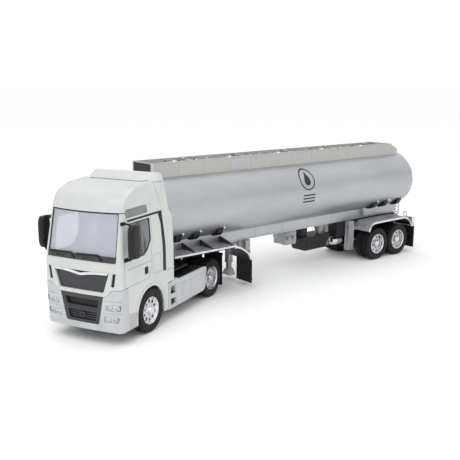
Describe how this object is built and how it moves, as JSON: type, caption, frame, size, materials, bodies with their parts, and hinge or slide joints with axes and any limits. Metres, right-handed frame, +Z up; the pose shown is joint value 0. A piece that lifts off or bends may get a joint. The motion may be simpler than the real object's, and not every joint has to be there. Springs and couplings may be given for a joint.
{
  "type": "toy tank truck",
  "caption": "Toy cab-over tractor unit coupled to a tank semi-trailer at a fifth wheel, with wheels that roll on their axle rods.",
  "frame": {"origin": "on the ground under the middle of the whole vehicle box, with the tractor turned in 23.6 degrees", "axes": "+Z up, +Y along the trailer towards its rear end, +X to the vehicle left-hand side"},
  "size_m": [0.1452, 0.4896, 0.135],
  "materials": {
    "cab_paint": "off-white gloss enamel on cast metal",
    "bumper_plastic": "cool grey-white moulded plastic",
    "black_plastic": "black moulded plastic, satin",
    "charcoal_plastic": "charcoal moulded plastic",
    "tyre_rubber": "matt black rubber with moulded sidewall rings",
    "flap_rubber": "soft matt black",
    "chrome": "vacuum-plated bright chrome on plastic",
    "silver_plastic": "satin silver paint on plastic",
    "grey_plastic": "metallic grey moulded plastic",
    "steel": "drawn bar",
    "clear_plastic": "clear polystyrene with a faint lilac tint",
    "lamp_clear": "clear lens over a bright reflector",
    "lamp_red": "transparent red"
  },
  "bodies": {
    "trailer": {"air_tank": "silver_plastic", "axle_carriage": "black_plastic", "front_platform_left": "grey_plastic", "front_platform_right": "grey_plastic", "hatch_deck": "chrome", "kingpin_plate": "steel", "landing_gear": "grey_plastic", "pump_case": "black_plastic", "rear_crossbeam": "silver_plastic", "rear_fender_left": "grey_plastic", "rear_fender_right": "grey_plastic", "spill_coaming": "grey_plastic", "subframe": "silver_plastic", "tail_light_left": "lamp_red", "tail_light_right": "lamp_red", "tank_barrel": "silver_plastic", "tank_front_end": "silver_plastic", "tank_rear_end": "silver_plastic", "tool_box": "black_plastic", "valve_block": "grey_plastic"},
    "tractor": {"cab_shell": "cab_paint", "cab_roof": "cab_paint", "roof_spoiler": "cab_paint", "cab_glazing": "clear_plastic", "wiper_cowl": "charcoal_plastic", "upper_grille": "charcoal_plastic", "grille_strip": "chrome", "front_bumper": "bumper_plastic", "lower_grille": "black_plastic", "headlight_left": "lamp_clear", "headlight_right": "lamp_clear", "mirror_left": "black_plastic", "mirror_right": "black_plastic", "cabin_interior": "charcoal_plastic", "steering_wheel": "black_plastic", "chassis_frame": "black_plastic", "fifth_wheel": "black_plastic", "side_fairing_left": "bumper_plastic", "side_fairing_right": "bumper_plastic", "drive_mudflaps": "flap_rubber"},
    "tractor_front_axle": {"tractor_front_axle_rod": "steel", "tractor_front_rim_left": "chrome", "tractor_front_rim_right": "chrome", "tractor_front_tyre_left": "tyre_rubber", "tractor_front_tyre_right": "tyre_rubber"},
    "tractor_rear_axle": {"tractor_rear_axle_rod": "steel", "tractor_rear_rim_left": "chrome", "tractor_rear_rim_right": "chrome", "tractor_rear_tyre_left": "tyre_rubber", "tractor_rear_tyre_right": "tyre_rubber"},
    "trailer_front_axle": {"trailer_front_axle_rod": "steel", "trailer_front_rim_left": "chrome", "trailer_front_rim_right": "chrome", "trailer_front_tyre_left": "tyre_rubber", "trailer_front_tyre_right": "tyre_rubber"},
    "trailer_rear_axle": {"trailer_rear_axle_rod": "steel", "trailer_rear_rim_left": "chrome", "trailer_rear_rim_right": "chrome", "trailer_rear_tyre_left": "tyre_rubber", "trailer_rear_tyre_right": "tyre_rubber"}
  },
  "joints": [
    {"name": "fifth_wheel_turn", "type": "hinge", "parent": "trailer", "child": "tractor", "pos_m": [-0.02332, -0.1033, 0.042], "axis": [0, 0, 1], "range_deg": [-103.6, 56.4]},
    {"name": "tractor_front_roll", "type": "hinge", "parent": "tractor", "child": "tractor_front_axle", "pos_m": [0.01435, -0.18953, 0.019], "axis": [0.9164, 0.4003, 0], "continuous": true},
    {"name": "tractor_rear_roll", "type": "hinge", "parent": "tractor", "child": "tractor_rear_axle", "pos_m": [-0.03061, -0.08662, 0.019], "axis": [0.9164, 0.4003, 0], "continuous": true},
    {"name": "trailer_front_roll", "type": "hinge", "parent": "trailer", "child": "trailer_front_axle", "pos_m": [-0.02332, 0.1729, 0.019], "axis": [1, 0, 0], "continuous": true},
    {"name": "trailer_rear_roll", "type": "hinge", "parent": "trailer", "child": "trailer_rear_axle", "pos_m": [-0.02332, 0.21255, 0.019], "axis": [1, 0, 0], "continuous": true}
  ]
}
